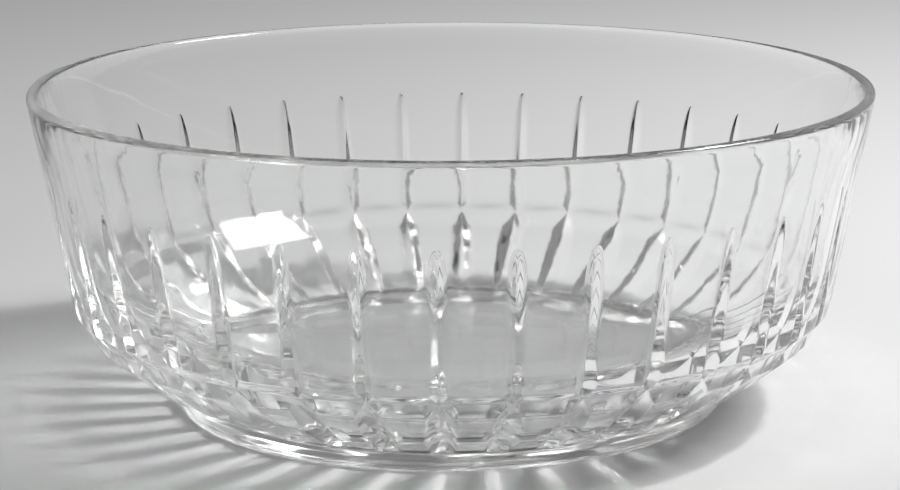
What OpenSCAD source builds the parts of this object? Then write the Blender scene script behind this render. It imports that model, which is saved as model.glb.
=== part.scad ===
// Pressed glass salad bowl: plain rim, fluted wall, bevelled shoulder, facet band and foot ring.
// Millimetres, +Z up, origin on the table under the centre of the bowl.
// The glass is one pressing. Each module is one zone of it, and the zones meet face to face.

/* [Bowl] */
// Outer diameter of the rim
rim_d = 230; // [200:1:260]
// Height from the table to the top of the rim
bowl_h = 88; // [76:1:110]

/* [Wall] */
// Glass thickness at the rim
rim_t = 3; // [2.2:0.1:4]
// Height of the rounded lip
lip_h = 4; // [3:0.5:8]
// Lean of the outer wall from upright, in degrees
wall_lean = 10.5; // [7:0.1:14]
// Extra lean of the inner wall, which thickens the glass downwards, in degrees
wall_taper = 1.8; // [1:0.1:3]

/* [Flutes] */
// Number of flutes around the wall
flute_n = 36; // [28:1:40]
// Angle between the two faces of a flute, in degrees
flute_angle = 110; // [90:1:118]
// Depth of a flute, square to the wall
flute_depth = 1.45; // [1:0.05:1.8]
// Plain height from the flutes' pointed tops to the top of the rim
plain_h = 22; // [16:1:30]
// Length over which a flute runs out into its pointed top
flute_tip_l = 11; // [6:0.5:14]
// Unfluted height between the flutes' tops and the plain wall zone
flute_cap_h = 2; // [1:0.5:4]

/* [Shoulder and facets] */
// Height of the crease under the shoulder above the table
crease_h = 25.6; // [23:0.1:32]
// Height of the bevel between the wall and the crease
bevel_h = 2.6; // [1.5:0.1:4]
// Distance that the bevel runs in towards the axis
bevel_in = 3; // [2:0.1:4]
// Height of the steep upper facets
upper_facet_h = 4.5; // [3.5:0.1:6.5]
// Distance that the upper facets run in
upper_facet_in = 1.7; // [1:0.1:3]
// Height of the sloping lower facets
lower_facet_h = 10.1; // [8:0.1:12]
// Distance that the lower facets run in
lower_facet_in = 12.7; // [10:0.1:16]
// Distance that the base facets run in to the foot
base_facet_in = 10.8; // [8:0.1:14]
// Depth of the grooves under the lower break, square to the band
groove_depth = 2.9; // [2:0.1:3.6]
// Angle between the two faces of a groove, in degrees
groove_angle = 110; // [90:1:118]
// Distance that the grooves run in under the edge of the base facets at the foot
groove_end_in = 3.6; // [2.5:0.1:5]

/* [Foot] */
// Height of the foot ring
foot_h = 5.2; // [4:0.1:6]
// Step from the base facets in to the side of the foot ring
foot_step = 0.8; // [0.2:0.1:2]
// Width of the foot ring at the table
foot_w = 5; // [4:0.5:10]
// Rounding of the foot ring's lower outer edge
foot_round = 1.8; // [1:0.1:2.5]
// Depth of the hollow under the floor
recess_h = 0.8; // [0.5:0.1:3]

/* [Inside] */
// Glass left between the grooves and the inside
band_t = 3.5; // [2.5:0.1:6]
// Radius of the curve between the floor and the inner wall
curve_r = 45; // [38:1:52]
// Height of the flat floor over the lowest point of that curve
floor_rise = 0.2; // [0.1:0.05:0.6]

/* [Hidden] */
$fn = 180;
glass = [0.86, 0.88, 0.88, 0.45];
// Chords in the inner curve, the lip's half round and the foot's rounding
curve_steps = 14;
lip_steps = 12;
foot_steps = 6;
// Chords in a flute's run-out
tip_steps = 5;
// How far a cutting shape reaches past the glass, and how far a groove's two stretches run on past their ends
over = 1;
groove_run_on = 10;

// Centre of the lip's half round in the profile
lip_r = rim_t / 2;
lip_centre = [rim_d / 2 - lip_r, bowl_h - lip_r];
inner_lean = wall_lean + wall_taper;
lip_bottom = bowl_h - lip_h;
flute_top = bowl_h - plain_h;
flute_zone_top = flute_top + flute_cap_h;

// Corners of a panel's profile, from the shoulder down to the foot
shoulder = [wall_r(crease_h + bevel_h), crease_h + bevel_h];
crease = shoulder - [bevel_in, bevel_h];
upper_break = crease - [upper_facet_in, upper_facet_h];
lower_break = upper_break - [lower_facet_in, lower_facet_h];
foot_top = [lower_break[0] - base_facet_in, foot_h];
foot_r = foot_top[0] - foot_step;
recess_mouth_r = foot_r - foot_w;

// A groove's bottom edge runs down from the crease, folds under the lower break and ends over the foot
band_slope = slope_of(foot_top, upper_break);
groove_fold = lower_break + groove_depth * [-sin(band_slope), cos(band_slope)];
groove_end = foot_top - [groove_end_in, 0];
groove_slope = slope_of(groove_fold, crease);

// Centre of the inner curve: it touches the inner wall and clears the grooves by band_t
wall_offset = inner_wall_r(0) - curve_r / cos(inner_lean);
groove_offset = groove_fold[1] - tan(groove_slope) * groove_fold[0]
              + (curve_r + band_t) / cos(groove_slope);
curve_x = (wall_offset + tan(inner_lean) * groove_offset)
        / (1 - tan(inner_lean) * tan(groove_slope));
curve_z = groove_offset + tan(groove_slope) * curve_x;
floor_z = curve_z - curve_r + floor_rise;
floor_angle = curve_angle(floor_z);
crease_angle = curve_angle(crease_h);
wall_angle = 90 - inner_lean;
floor_r = curve_point(floor_angle)[0];

// Radius of the outer wall at a height: a line that touches the lip's half round
function wall_r(z) = lip_centre[0] + lip_r / cos(wall_lean) - (lip_centre[1] - z) * tan(wall_lean);

// Radius of the straight inner wall at a height, which touches the lip's half round too
function inner_wall_r(z) =
    lip_centre[0] - lip_r / cos(inner_lean) - (lip_centre[1] - z) * tan(inner_lean);

// Angle on the inner curve, from straight down, at a height
function curve_angle(z) = acos((curve_z - z) / curve_r);

// Point of the inner curve at an angle from straight down
function curve_point(a) = [curve_x + curve_r * sin(a), curve_z - curve_r * cos(a)];

// Points along an arc from one angle to another, measured from +X
function arc_points(centre, r, from, to, steps) =
    [for (i = [0:steps]) let (a = from + (to - from) * i / steps) centre + r * [cos(a), sin(a)]];

// Points along the inner curve between two angles from straight down
function curve_points(from, to) =
    [for (i = [0:curve_steps]) curve_point(from + (to - from) * i / curve_steps)];

// Slope of the line between two points of the profile, in degrees
function slope_of(low, high) = atan2(high[1] - low[1], high[0] - low[0]);

// A wedge whose sharp edge runs up +Z from the origin and which opens towards +X
module wedge(angle, length, reach) {
    half_w = reach * tan(angle / 2);
    linear_extrude(length) polygon([[0, 0], [reach, half_w], [reach, -half_w]]);
}

// All that lies outside one face of a flute: the flute's bottom edge, drawn with the wall upright and curving
// out to the tip as a quarter ellipse, is swept along that face, which stands at half the flute's angle
module flute_side(side) {
    half_angle = flute_angle / 2;
    flute_l = (flute_top - crease_h) / cos(wall_lean);
    reach = flute_depth + 2 * over;
    bottom_edge = concat([[-flute_depth, -reach]],
        [for (i = [0:tip_steps]) let (a = 90 * i / tip_steps)
            [-flute_depth * cos(a), flute_l - flute_tip_l * (1 - sin(a))]],
        [[reach, flute_l], [reach, -reach]]);
    rotate(-side * (90 - half_angle)) rotate([90, 0, 0])
        linear_extrude(2 * reach / cos(half_angle), center = true)
            polygon([for (p = bottom_edge) [p[0] * sin(half_angle), p[1]]]);
}

// One flute on the +X side: a straight V cut that runs down over the bevel and out at its pointed top
module flute_cut() {
    translate([wall_r(crease_h), 0, crease_h]) rotate([0, wall_lean, 0])
        intersection() {
            flute_side(1);
            flute_side(-1);
        }
}

// One stretch of a groove: a V cut whose bottom edge runs through two points of the profile and on past both
module groove_stretch(low, high) {
    translate([low[0], 0, low[1]]) rotate([0, 90 - slope_of(low, high), 0])
        translate([0, 0, -groove_run_on])
            wedge(groove_angle, norm(high - low) + 2 * groove_run_on, groove_depth + 2 * over);
}

// One groove on the +X side, folded under the lower break
module groove_cut() {
    groove_stretch(groove_fold, crease);
    groove_stretch(groove_end, groove_fold);
}

// All that lies outside one flat panel of bevel and facets, half a pitch round from the +X side: the panel's
// profile, run on past the glass at both ends, is swept straight across the panel
module panel_cut() {
    outside_r = rim_d / 2;
    half_w = outside_r * tan(180 / flute_n) + over;
    bevel_end = shoulder + (shoulder - crease) * over / bevel_h;
    base_end = foot_top + (foot_top - lower_break) * over / (lower_break[1] - foot_h);
    rotate(180 / flute_n) rotate([90, 0, 0]) linear_extrude(2 * half_w, center = true)
        polygon([base_end, lower_break, upper_break, crease, bevel_end,
                 [outside_r, bevel_end[1]], [outside_r, base_end[1]]]);
}

// Copies of a cut for every flute or panel
module around() {
    for (i = [0:flute_n - 1]) rotate(i * 360 / flute_n) children();
}

// Rounded lip
module rim_lip() {
    color(glass) rotate_extrude() polygon(concat(
        [[inner_wall_r(lip_bottom), lip_bottom], [wall_r(lip_bottom), lip_bottom]],
        arc_points(lip_centre, lip_r, -wall_lean, 180 - inner_lean, lip_steps)));
}

// Plain wall under the lip
module plain_wall() {
    color(glass) rotate_extrude() polygon([
        [inner_wall_r(flute_zone_top), flute_zone_top], [wall_r(flute_zone_top), flute_zone_top],
        [wall_r(lip_bottom), lip_bottom], [inner_wall_r(lip_bottom), lip_bottom]]);
}

// Wall with the flutes, down over the bevelled shoulder to the crease
module fluted_wall() {
    color(glass) difference() {
        rotate_extrude() polygon(concat(
            [[wall_r(crease_h), crease_h], [wall_r(flute_zone_top), flute_zone_top],
             [inner_wall_r(flute_zone_top), flute_zone_top]],
            curve_points(wall_angle, crease_angle)));
        around() panel_cut();
        around() flute_cut();
    }
}

// Sloping band of facets and grooves between the crease and the foot
module facet_band() {
    color(glass) difference() {
        rotate_extrude() polygon(concat(
            [[floor_r, foot_h], [shoulder[0], foot_h], [shoulder[0], crease_h]],
            curve_points(crease_angle, floor_angle)));
        around() panel_cut();
        around() groove_cut();
    }
}

// Smooth ring that the bowl stands on
module foot_ring() {
    round_centre = [foot_r - foot_round, foot_round];
    color(glass) rotate_extrude() polygon(concat(
        [[floor_r, recess_h], [recess_mouth_r, 0]],
        arc_points(round_centre, foot_round, -90, 0, foot_steps),
        [[foot_r, foot_h], [floor_r, foot_h]]));
}

// Flat floor over the hollow underside
module floor_plate() {
    color(glass) translate([0, 0, recess_h]) cylinder(r = floor_r, h = floor_z - recess_h);
}

rim_lip();
plain_wall();
fluted_wall();
facet_band();
foot_ring();
floor_plate();
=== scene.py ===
"""Clear pressed-glass salad bowl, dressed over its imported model.

Metres, +Z up, origin on the table under the bowl.
"""

from math import acos, atan2, cos, pi, radians, sin, tan

import bpy
import numpy as np
from mathutils import Matrix, Vector


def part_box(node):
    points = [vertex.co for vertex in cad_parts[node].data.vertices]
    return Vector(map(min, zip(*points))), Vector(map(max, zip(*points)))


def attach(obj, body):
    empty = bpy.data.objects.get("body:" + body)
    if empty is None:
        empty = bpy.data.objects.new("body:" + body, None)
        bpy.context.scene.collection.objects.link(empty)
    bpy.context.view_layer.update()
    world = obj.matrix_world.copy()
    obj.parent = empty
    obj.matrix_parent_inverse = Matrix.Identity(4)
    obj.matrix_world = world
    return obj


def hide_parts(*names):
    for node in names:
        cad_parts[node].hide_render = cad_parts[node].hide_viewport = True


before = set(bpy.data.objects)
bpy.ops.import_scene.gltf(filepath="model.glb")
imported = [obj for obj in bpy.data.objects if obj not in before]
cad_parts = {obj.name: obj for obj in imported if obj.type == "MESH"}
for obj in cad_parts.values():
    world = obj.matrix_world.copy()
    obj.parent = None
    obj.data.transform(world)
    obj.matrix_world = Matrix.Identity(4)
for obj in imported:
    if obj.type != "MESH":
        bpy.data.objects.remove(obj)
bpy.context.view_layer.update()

MM = 0.001
TINY = 1e-9

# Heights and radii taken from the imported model, with the rim's least half size as its radius
lip_low, lip_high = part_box("rim_lip")
wall_low, wall_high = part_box("fluted_wall")
floor_low, floor_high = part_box("floor_plate")
foot_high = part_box("foot_ring")[1]
RIM_R = min(*lip_high.xy, *-lip_low.xy)
BOWL_H = lip_high.z
FLUTE_ZONE_TOP = wall_high.z
CREASE_H = wall_low.z
FOOT_R = foot_high.x
FOOT_H = foot_high.z
FLOOR_R = floor_high.x
FLOOR_H = floor_high.z
RECESS_H = floor_low.z

# Wall
RIM_T = 3.0 * MM
WALL_LEAN = radians(10.5)
INNER_LEAN = radians(12.3)

# Flutes
FLUTE_N = 36
FLUTE_CAP_H = 2.0 * MM
FLUTE_TIP_L = 11.0 * MM
# Half width under the run-out and at the crease
UPPER_HALF_W = 2.1 * MM
CREASE_HALF_W = 2.75 * MM
# Slope of the faces at the tip and at the crease
TIP_SLOPE = 0.28
CREASE_SLOPE = 0.80
# How far a flute runs on under the crease
FLUTE_RUN_ON = 0.3 * MM
# Share of a flute's depth that falls off as a square
FLUTE_BOW = 0.3

# Shoulder bevel and facets: the height of each and how far it runs in
BEVEL_H = 2.6 * MM
BEVEL_IN = 3.0 * MM
UPPER_FACET_H = 4.5 * MM
UPPER_FACET_IN = 1.7 * MM
LOWER_FACET_H = 10.1 * MM
LOWER_FACET_IN = 12.7 * MM
# Change in how fast the bevel widens upwards, from the middle of a panel to its ends, as a share
BEVEL_FAN = -0.3

# Grooves
GROOVE_DEPTH = 2.9 * MM
GROOVE_HALF_ANGLE = radians(55)
GROOVE_END_IN = 3.6 * MM

# Foot and inside
FOOT_STEP = 0.8 * MM
FOOT_W = 5.0 * MM
FOOT_ROUND = 1.8 * MM
CURVE_R = 45.0 * MM
FLOOR_RISE = 0.2 * MM

# Softness of the pressed edges: how much two faces may differ where one blends into the other
EDGE_SOFT = 0.3 * MM
SHOULDER_SOFT = 1.0 * MM
# Rounding of the bottom of a flute or groove
VALLEY_SOFT = 0.12 * MM
# Rounding of the foot ring's small corners
CORNER_R = 0.3 * MM
# Edges of the mesh that turn by more than this are shaded sharp
SHARP_ANGLE = radians(40)

# Columns of the grid: shares of a flute's face from its bottom to its edge, and of half a panel from there
FACE_STATIONS = (0, 0.1, 0.35, 0.7, 1)
PANEL_STATIONS = (0.06, 0.2, 0.5, 1)
# Share of the half pitch that the face columns take where there are no flutes
PLAIN_SHARE = 0.5
# Least half width that the face columns close up to at a flute's tip
LEAST_HALF_W = 0.3 * MM
# Angles at which a flute's or groove's width is measured
WIDTH_SAMPLES = 401

# Rows of the grid: shares of a stretch, or steps up and down from an edge
FLOOR_STATIONS = (0.3, 0.6, 0.9, 0.985)
WALL_STATIONS = (0.02, 0.3, 0.7, 0.97)
OVER_TIP = 0.15 * MM
EDGE_STEPS = (0.5 * MM, 0.2 * MM, 0, -0.2 * MM, -0.5 * MM)
FOLD_STEPS = (0.3 * MM, 0, -0.3 * MM)
FOOT_TOP_STEPS = (0.4 * MM, 0.1 * MM, 0)
# How many rows a stretch or an arc takes, from the inside over the lip to the foot
CURVE_ROWS = 34
LIP_ROWS = 13
PLAIN_WALL_ROWS = 3
TIP_ROWS = 22
FLUTE_ROWS = 12
BEVEL_ROWS = 3
UPPER_FACET_ROWS = 5
OVER_FOLD_ROWS = 3
UNDER_FOLD_ROWS = 2
BASE_FACET_ROWS = 3
CORNER_ROWS = 4
FOOT_SIDE_ROWS = 2
HEEL_ROWS = 7

# Glass
GLASS_TINT = (0.992, 0.995, 0.995)
GLASS_IOR = 1.52
GLASS_ROUGHNESS = 0.035
# Waves in the glass, each as its fineness per metre and its height, and the detail of both
LONG_WAVE = (45.0, 0.10 * MM)
FINE_RIPPLE = (300.0, 0.006 * MM)
WAVE_DETAIL = 1.0

# Floor, with a hair of air under the bowl, and room
FLOOR_GREY = (0.80, 0.80, 0.80)
FLOOR_ROUGHNESS = 0.7
FLOOR_GLOSS = 0.2
FLOOR_SIZE = 1.7
AIR_GAP = 0.05 * MM
ROOM_GREY = (0.22, 0.22, 0.22)

# Camera, for a picture 900 pixels wide
IMAGE_W = 900
SENSOR_W = 36.0
CAMERA_FOCAL_PX = 2715.6
CAMERA_PLACE = (-0.0004, -0.7340, 0.2094)
CAMERA_TURN = radians(1.857)
CAMERA_PITCH = radians(12.844)
CAMERA_ROLL = radians(0.299)
CAMERA_CLIP = 0.01

# Key light, to the right of the bowl, a little behind it and above
KEY_PLACE = (0.80, 0.145, 0.90)
KEY_AIM = (0.35, 0.45, 0)
KEY_SIZE = (0.50, 0.43)
KEY_POWER = 9.0
# Small lamp on the same side, nearer to the bowl
LAMP_PLACE = (0.50, 0.11, 0.70)
LAMP_AIM = (0, 0, 0)
LAMP_SIZE = (0.06, 0.06)
LAMP_POWER = 2.3

# How often light may bend and mirror in the glass, and how much the light that it throws is blurred
GLASS_BOUNCES = 32
MIRROR_BOUNCES = 16
THROWN_LIGHT_BLUR = 0.3

# Derived sizes
HALF_PITCH = pi / FLUTE_N
VALLEY_ANGLE = VALLEY_SOFT / RIM_R
LIP_R = RIM_T / 2
LIP_CENTRE = np.array([RIM_R - LIP_R, BOWL_H - LIP_R])
FLUTE_TOP = FLUTE_ZONE_TOP - FLUTE_CAP_H


def wall_radius(z):
    """Radius of the outer wall at a height: a straight line that touches the lip's half round."""
    return LIP_CENTRE[0] + LIP_R / cos(WALL_LEAN) - (LIP_CENTRE[1] - z) * tan(WALL_LEAN)


# Corners of a panel's profile, each as its radius and height, from the shoulder down to the foot
SHOULDER = np.array([wall_radius(CREASE_H + BEVEL_H), CREASE_H + BEVEL_H])
CREASE = SHOULDER - np.array([BEVEL_IN, BEVEL_H])
UPPER_BREAK = CREASE - np.array([UPPER_FACET_IN, UPPER_FACET_H])
LOWER_BREAK = UPPER_BREAK - np.array([LOWER_FACET_IN, LOWER_FACET_H])
FOOT_TOP = np.array([FOOT_R + FOOT_STEP, FOOT_H])
# A groove's bottom edge starts where a flute's ends, folds under the lower break and ends over the foot
MEETING = np.array([CREASE[0] / cos(HALF_PITCH), CREASE_H])
FOLD_SLOPE = atan2(UPPER_BREAK[1] - FOOT_H, UPPER_BREAK[0] - FOOT_TOP[0])
FOLD = LOWER_BREAK + GROOVE_DEPTH * np.array([-sin(FOLD_SLOPE), cos(FOLD_SLOPE)])
GROOVE_END = FOOT_TOP - np.array([GROOVE_END_IN, 0])
# The curve inside starts at the floor's edge, a little up from its own lowest point
FLOOR_ANGLE = acos(1 - FLOOR_RISE / CURVE_R)
CURVE_CENTRE = (FLOOR_R - CURVE_R * sin(FLOOR_ANGLE), FLOOR_H + CURVE_R - FLOOR_RISE)


def line_radius(z, low, high):
    """Radius at a height on the straight line through two points of the profile."""
    return low[0] + (z - low[1]) * (high[0] - low[0]) / (high[1] - low[1])


def soft_min(a, b, soft):
    """The smaller of two surfaces, with the edge where they cross rounded off: where they differ by less than
    soft, a quarter of soft times the square of the nearness is taken away."""
    near = np.maximum(soft - np.abs(a - b), 0) / soft
    return np.minimum(a, b) - near**2 * soft / 4


def flute_depth(theta, z):
    """Depth of a flute under the panels. The half width grows as a quarter ellipse over the run-out at the
    tip and a little more, evenly, down to the crease, and from the shoulder on it shrinks evenly to nothing.
    The depth is the half width times the faces' slope, which grows with the root of the way from the tip.
    Across the flute, the depth falls from the bottom to the edge mostly evenly and partly as a square, so
    that the faces bow out a little."""
    along = np.clip((z - FLUTE_TOP) / FLUTE_TIP_L + 1, 0, 1)
    down = np.clip((FLUTE_TOP - z) / (FLUTE_TOP - CREASE_H), 0, 1)
    left = np.clip((z - CREASE_H + FLUTE_RUN_ON) / (BEVEL_H + FLUTE_RUN_ON), 0, 1)
    run_out = np.sqrt(np.maximum(1 - along**2, TINY))
    half_w = UPPER_HALF_W * run_out + (CREASE_HALF_W - UPPER_HALF_W) * down
    half_w = np.maximum(half_w * left, TINY)
    slope = TIP_SLOPE + (CREASE_SLOPE - TIP_SLOPE) * np.sqrt(down)
    from_bottom = np.sqrt(theta**2 + VALLEY_ANGLE**2) * RIM_R
    from_edge = np.maximum(1 - from_bottom / half_w, 0)
    return half_w * slope * ((1 - FLUTE_BOW) * from_edge + FLUTE_BOW * from_edge**2)


def v_cut(theta, z, low, high):
    """Radius of the two faces of a V cut whose bottom edge is the line through two points of the profile. The
    faces stand at the groove's half angle to either side of the middle plane. So, with rise for the sine of
    the bottom's slope, radius times (rise cos theta - |sin theta| cot half angle) is the bottom's radius
    times rise. A small square beside sin theta squared, under its root, rounds the bottom."""
    rise = sin(atan2(high[1] - low[1], high[0] - low[0]))
    side = np.sqrt(np.sin(theta) ** 2 + VALLEY_ANGLE**2)
    return line_radius(z, low, high) * rise / (rise * np.cos(theta) - side / tan(GROOVE_HALF_ANGLE))


def groove_radius(theta, z):
    """Radius of a groove's faces: the lesser of two V cuts, along the lower facets and the base facets."""
    return soft_min(v_cut(theta, z, FOLD, MEETING), v_cut(theta, z, GROOVE_END, FOLD), EDGE_SOFT)


def panel_radius(theta, z):
    """Radius of the wall, the bevel under it and the three facets, without flutes: the least of them, except
    that the larger of the bevel and the upper facet counts, since they meet in a hollow crease. The facets
    are flat, so their radius grows as one over the cosine of the angle from the middle of the panel. The
    bevel starts like that at the crease and widens upwards, less so by the square of that angle."""
    off_middle = HALF_PITCH - np.abs(theta)
    across = np.cos(off_middle)
    fan = 1 + BEVEL_FAN * (off_middle / HALF_PITCH) ** 2
    bevel = CREASE[0] / across + (z - CREASE_H) * BEVEL_IN / BEVEL_H * fan
    upper = line_radius(z, UPPER_BREAK, CREASE) / across
    lower = line_radius(z, LOWER_BREAK, UPPER_BREAK) / across
    base = line_radius(z, FOOT_TOP, LOWER_BREAK) / across
    shoulder = -soft_min(-bevel, -upper, EDGE_SOFT)
    radius = soft_min(wall_radius(z), shoulder, SHOULDER_SOFT)
    return soft_min(soft_min(radius, lower, EDGE_SOFT), base, EDGE_SOFT)


def outer_radius(theta, z):
    """Radius of the glass outside: the panels, cut by the flutes and the grooves."""
    fluted = panel_radius(theta, z) - flute_depth(theta, z)
    return soft_min(fluted, groove_radius(theta, z), EDGE_SOFT)


def half_widths(z):
    """Half the angle that a flute or groove is wide at each height: the share of the half pitch over which
    the cut lies under the panel, and never less than the columns may close up to."""
    theta = np.linspace(0, HALF_PITCH, WIDTH_SAMPLES)[None, :]
    fluted = flute_depth(theta, z[:, None]) > TINY
    grooved = groove_radius(theta, z[:, None]) < panel_radius(theta, z[:, None]) - TINY
    return np.maximum((fluted | grooved).mean(axis=1) * HALF_PITCH, LEAST_HALF_W / RIM_R)


def column_angles(half_width):
    """Angles of the columns all around, one row for each half width. From a flute's bottom the columns go out
    over its face to its edge, then over half a panel, and the other half of the pitch mirrors them."""
    half_width = np.atleast_1d(half_width)[:, None]
    face = half_width * np.array(FACE_STATIONS)
    panel = half_width + (HALF_PITCH - half_width) * np.array(PANEL_STATIONS)
    half = np.hstack([face, panel])
    pitch = np.hstack([-half[:, -2:0:-1], half])
    flutes = 2 * HALF_PITCH * np.arange(FLUTE_N)
    return pitch[:, None, :] + flutes[None, :, None]


def stretch(high, low, count):
    """Heights between two edges of the profile, evenly spaced and without the ends."""
    return np.linspace(high, low, count + 2)[1:-1]


def outer_heights():
    """Heights of the outer wall's rows from the lip down to the foot: close together where the flutes run out
    and at the shoulder, the crease and the breaks of the facets, and further apart on the plain stretches."""
    lip_end = LIP_CENTRE[1] - LIP_R * sin(WALL_LEAN)
    tip = np.hstack([FLUTE_TOP + OVER_TIP, FLUTE_TOP - FLUTE_TIP_L * np.linspace(0, 1, TIP_ROWS) ** 2])
    shoulder, crease, upper, lower = (
        point[1] + np.array(EDGE_STEPS) for point in (SHOULDER, CREASE, UPPER_BREAK, LOWER_BREAK))
    fold = FOLD[1] + np.array(FOLD_STEPS)
    return np.hstack([
        stretch(lip_end, tip[0], PLAIN_WALL_ROWS), tip,
        stretch(tip[-1], shoulder[0], FLUTE_ROWS), shoulder,
        stretch(shoulder[-1], crease[0], BEVEL_ROWS), crease,
        stretch(crease[-1], upper[0], UPPER_FACET_ROWS), upper,
        stretch(upper[-1], fold[0], OVER_FOLD_ROWS), fold,
        stretch(fold[-1], lower[0], UNDER_FOLD_ROWS), lower,
        stretch(lower[-1], FOOT_H, BASE_FACET_ROWS), FOOT_H + np.array(FOOT_TOP_STEPS)])


def arc(centre, radius, start, end, count):
    """Points of an arc in the profile, with angles from +r towards +z."""
    angle = np.linspace(start, end, count)
    return np.array(centre) + radius * np.column_stack([np.cos(angle), np.sin(angle)])


def floor_points(shares, height):
    """Points of the profile at shares of the floor's radius, all at one height."""
    return np.column_stack([FLOOR_R * np.array(shares), np.full(len(shares), height)])


def inner_profile():
    """Inside of the glass from near the axis to the outer side of the lip: flat floor, round curve, straight
    wall and half round lip."""
    floor = floor_points(FLOOR_STATIONS, FLOOR_H)
    curve = arc(CURVE_CENTRE, CURVE_R, FLOOR_ANGLE - pi / 2, -INNER_LEAN, CURVE_ROWS)
    lip = arc(LIP_CENTRE, LIP_R, pi - INNER_LEAN, -WALL_LEAN, LIP_ROWS)
    wall = curve[-1] + (lip[0] - curve[-1]) * np.array(WALL_STATIONS)[:, None]
    return np.vstack([floor, curve, wall, lip])


def foot_profile():
    """Outside of the foot ring and the hollow under the floor, down to near the axis: upright side, round
    lower edge, flat face on the table, sloping side of the hollow and its flat top."""
    top = arc((FOOT_R - CORNER_R, FOOT_H - CORNER_R), CORNER_R, pi / 2, 0, CORNER_ROWS)
    side_heights = stretch(FOOT_H - CORNER_R, FOOT_ROUND, FOOT_SIDE_ROWS)
    side = np.column_stack([np.full(FOOT_SIDE_ROWS, FOOT_R), side_heights])
    heel = arc((FOOT_R - FOOT_ROUND, FOOT_ROUND), FOOT_ROUND, 0, -pi / 2, HEEL_ROWS)
    mouth_r = FOOT_R - FOOT_W
    slope = atan2(RECESS_H, mouth_r - FLOOR_R)
    mouth_back = CORNER_R * tan(slope / 2)
    mouth = arc((mouth_r + mouth_back, CORNER_R), CORNER_R, -pi / 2, -pi / 2 - slope, CORNER_ROWS)
    under = floor_points((1, *FLOOR_STATIONS[::-1]), RECESS_H)
    return np.vstack([top, side, heel, mouth, under])


def glass_surface():
    """Grid of the whole glass, row by row from the middle of the floor over the lip and down the outside to
    the middle of the underside. A row is a profile's radius and height carried around the columns' angles,
    and on the outer wall the radius follows the flutes and facets. The radii of one pitch serve for all."""
    inner = inner_profile()
    heights = outer_heights()
    foot = foot_profile()
    plain = column_angles(PLAIN_SHARE * HALF_PITCH)
    fitted = column_angles(half_widths(heights))
    angle = np.concatenate([
        np.repeat(plain, len(inner), axis=0), fitted, np.repeat(fitted[-1:], len(foot), axis=0)])
    columns = angle.shape[2]
    radius = np.concatenate([
        np.repeat(inner[:, 0, None, None], columns, axis=2),
        outer_radius(fitted[:, :1], heights[:, None, None]),
        np.repeat(foot[:, 0, None, None], columns, axis=2)])
    height = np.concatenate([inner[:, 1], heights, foot[:, 1]])[:, None, None]
    grid = np.stack([
        radius * np.cos(angle), radius * np.sin(angle), np.broadcast_to(height, angle.shape)], axis=-1)
    return grid.reshape(len(grid), -1, 3)


def closed_mesh(name, grid, first_pole, last_pole):
    """Mesh of a grid that closes round on itself along its rows, with a fan to a pole at either end."""
    rows, columns = grid.shape[:2]
    first = rows * columns
    last = first + 1
    here = np.arange(first).reshape(rows, columns)
    there = np.roll(here, -1, axis=1)
    quads = np.stack([here[:-1], here[1:], there[1:], there[:-1]], axis=-1).reshape(-1, 4)
    first_fan = np.column_stack([np.full(columns, first), here[0], there[0]])
    last_fan = np.column_stack([np.full(columns, last), there[-1], here[-1]])
    points = np.vstack([grid.reshape(-1, 3), first_pole, last_pole])
    mesh = bpy.data.meshes.new(name)
    mesh.from_pydata(points.tolist(), [], quads.tolist() + first_fan.tolist() + last_fan.tolist())
    mesh.update()
    return mesh


def add_wave(tree, place, normal, fineness, height):
    """Noise of a given fineness and height in metres, as bumps on top of another normal if there is one."""
    noise = tree.nodes.new("ShaderNodeTexNoise")
    noise.inputs["Scale"].default_value = fineness
    noise.inputs["Detail"].default_value = WAVE_DETAIL
    bump = tree.nodes.new("ShaderNodeBump")
    bump.inputs["Distance"].default_value = height
    tree.links.new(place, noise.inputs["Vector"])
    tree.links.new(noise.outputs["Fac"], bump.inputs["Height"])
    if normal:
        tree.links.new(normal, bump.inputs["Normal"])
    return bump.outputs["Normal"]


def clear_glass():
    """Fire-polished pressed glass: clear, with a faint long wave from the mould and a fine ripple on it."""
    material = bpy.data.materials.new("clear_glass")
    material.use_nodes = True
    tree = material.node_tree
    shader = tree.nodes["Principled BSDF"]
    shader.inputs["Base Color"].default_value = (*GLASS_TINT, 1)
    shader.inputs["Roughness"].default_value = GLASS_ROUGHNESS
    shader.inputs["IOR"].default_value = GLASS_IOR
    shader.inputs["Transmission Weight"].default_value = 1.0
    place = tree.nodes.new("ShaderNodeTexCoord").outputs["Object"]
    wave = add_wave(tree, place, None, *LONG_WAVE)
    ripple = add_wave(tree, place, wave, *FINE_RIPPLE)
    tree.links.new(ripple, shader.inputs["Normal"])
    return material


def pale_floor():
    """Plain pale matt table top."""
    material = bpy.data.materials.new("pale_floor")
    material.use_nodes = True
    shader = material.node_tree.nodes["Principled BSDF"]
    shader.inputs["Base Color"].default_value = (*FLOOR_GREY, 1)
    shader.inputs["Roughness"].default_value = FLOOR_ROUGHNESS
    shader.inputs["Specular IOR Level"].default_value = FLOOR_GLOSS
    return material


def add_object(name, data):
    """Object for a mesh, a camera or a light, put in the scene."""
    thing = bpy.data.objects.new(name, data)
    bpy.context.scene.collection.objects.link(thing)
    return thing


def add_bowl():
    """The bowl as one closed piece of glass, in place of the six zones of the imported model."""
    mesh = closed_mesh("glass_bowl", glass_surface(), (0, 0, FLOOR_H), (0, 0, RECESS_H))
    mesh.shade_smooth()
    mesh.set_sharp_from_angle(angle=SHARP_ANGLE)
    mesh.materials.append(clear_glass())
    bowl = add_object("glass_bowl", mesh)
    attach(bowl, "root")
    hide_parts("rim_lip", "plain_wall", "fluted_wall", "facet_band", "foot_ring", "floor_plate")


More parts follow.
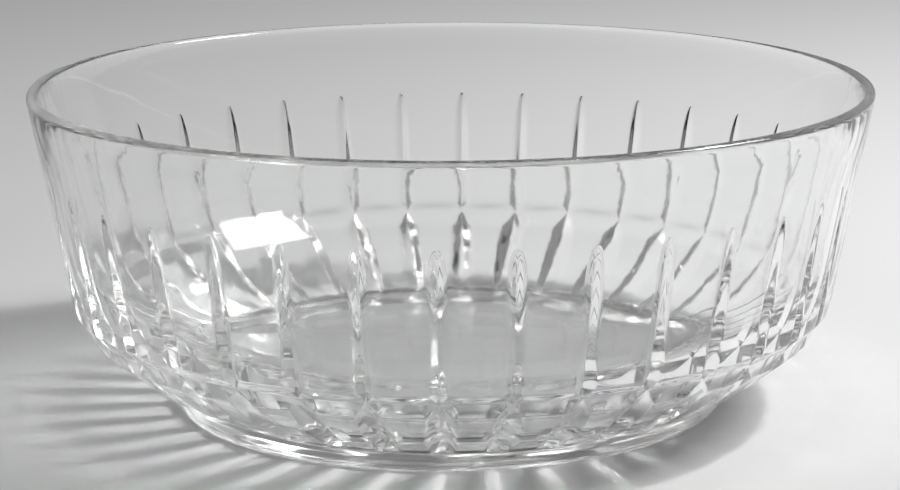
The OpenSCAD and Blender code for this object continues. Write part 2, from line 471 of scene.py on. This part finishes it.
def add_floor():
    """Wide plain floor that the bowl stands on: one square, with a hair of air under the hard foot."""
    half = FLOOR_SIZE / 2
    mesh = bpy.data.meshes.new("floor")
    corners = [(x * half, y * half, -AIR_GAP) for x, y in ((-1, -1), (1, -1), (1, 1), (-1, 1))]
    mesh.from_pydata(corners, [], [(0, 1, 2, 3)])
    mesh.materials.append(pale_floor())
    add_object("floor", mesh)


def add_camera():
    """Camera of the photograph: in front of the bowl and above it, turned a little round the bowl, tipped
    down and rolled by a hair."""
    data = bpy.data.cameras.new("camera")
    data.sensor_width = SENSOR_W
    data.lens = CAMERA_FOCAL_PX / IMAGE_W * SENSOR_W
    data.clip_start = CAMERA_CLIP
    camera = add_object("camera", data)
    turn = Matrix.Rotation(CAMERA_TURN, 4, "Z")
    aim = Matrix.Rotation(pi / 2 - CAMERA_PITCH, 4, "X") @ Matrix.Rotation(-CAMERA_ROLL, 4, "Z")
    camera.matrix_world = turn @ Matrix.Translation(CAMERA_PLACE) @ aim
    bpy.context.scene.camera = camera


def add_area_light(name, place, aim, size, power):
    """Soft rectangular light that shines from one point towards another."""
    data = bpy.data.lights.new(name, "AREA")
    data.shape = "RECTANGLE"
    data.size, data.size_y = size
    data.energy = power
    light = add_object(name, data)
    turn = (Vector(aim) - Vector(place)).to_track_quat("-Z", "Y").to_matrix().to_4x4()
    light.matrix_world = Matrix.Translation(place) @ turn


def add_room():
    """Plain grey room light from all round."""
    world = bpy.data.worlds.new("room")
    world.use_nodes = True
    background = world.node_tree.nodes["Background"]
    background.inputs["Color"].default_value = (*ROOM_GREY, 1)
    background.inputs["Strength"].default_value = 1.0
    bpy.context.scene.world = world


add_bowl()
add_floor()
add_camera()
add_area_light("key_light", KEY_PLACE, KEY_AIM, KEY_SIZE, KEY_POWER)
add_area_light("lamp", LAMP_PLACE, LAMP_AIM, LAMP_SIZE, LAMP_POWER)
add_room()

# Light that bends many times in the glass is followed through and isn't clamped
scene = bpy.context.scene
scene.view_settings.view_transform = "Standard"
scene.cycles.max_bounces = GLASS_BOUNCES
scene.cycles.transmission_bounces = GLASS_BOUNCES
scene.cycles.glossy_bounces = MIRROR_BOUNCES
scene.cycles.blur_glossy = THROWN_LIGHT_BLUR
scene.cycles.sample_clamp_indirect = 0
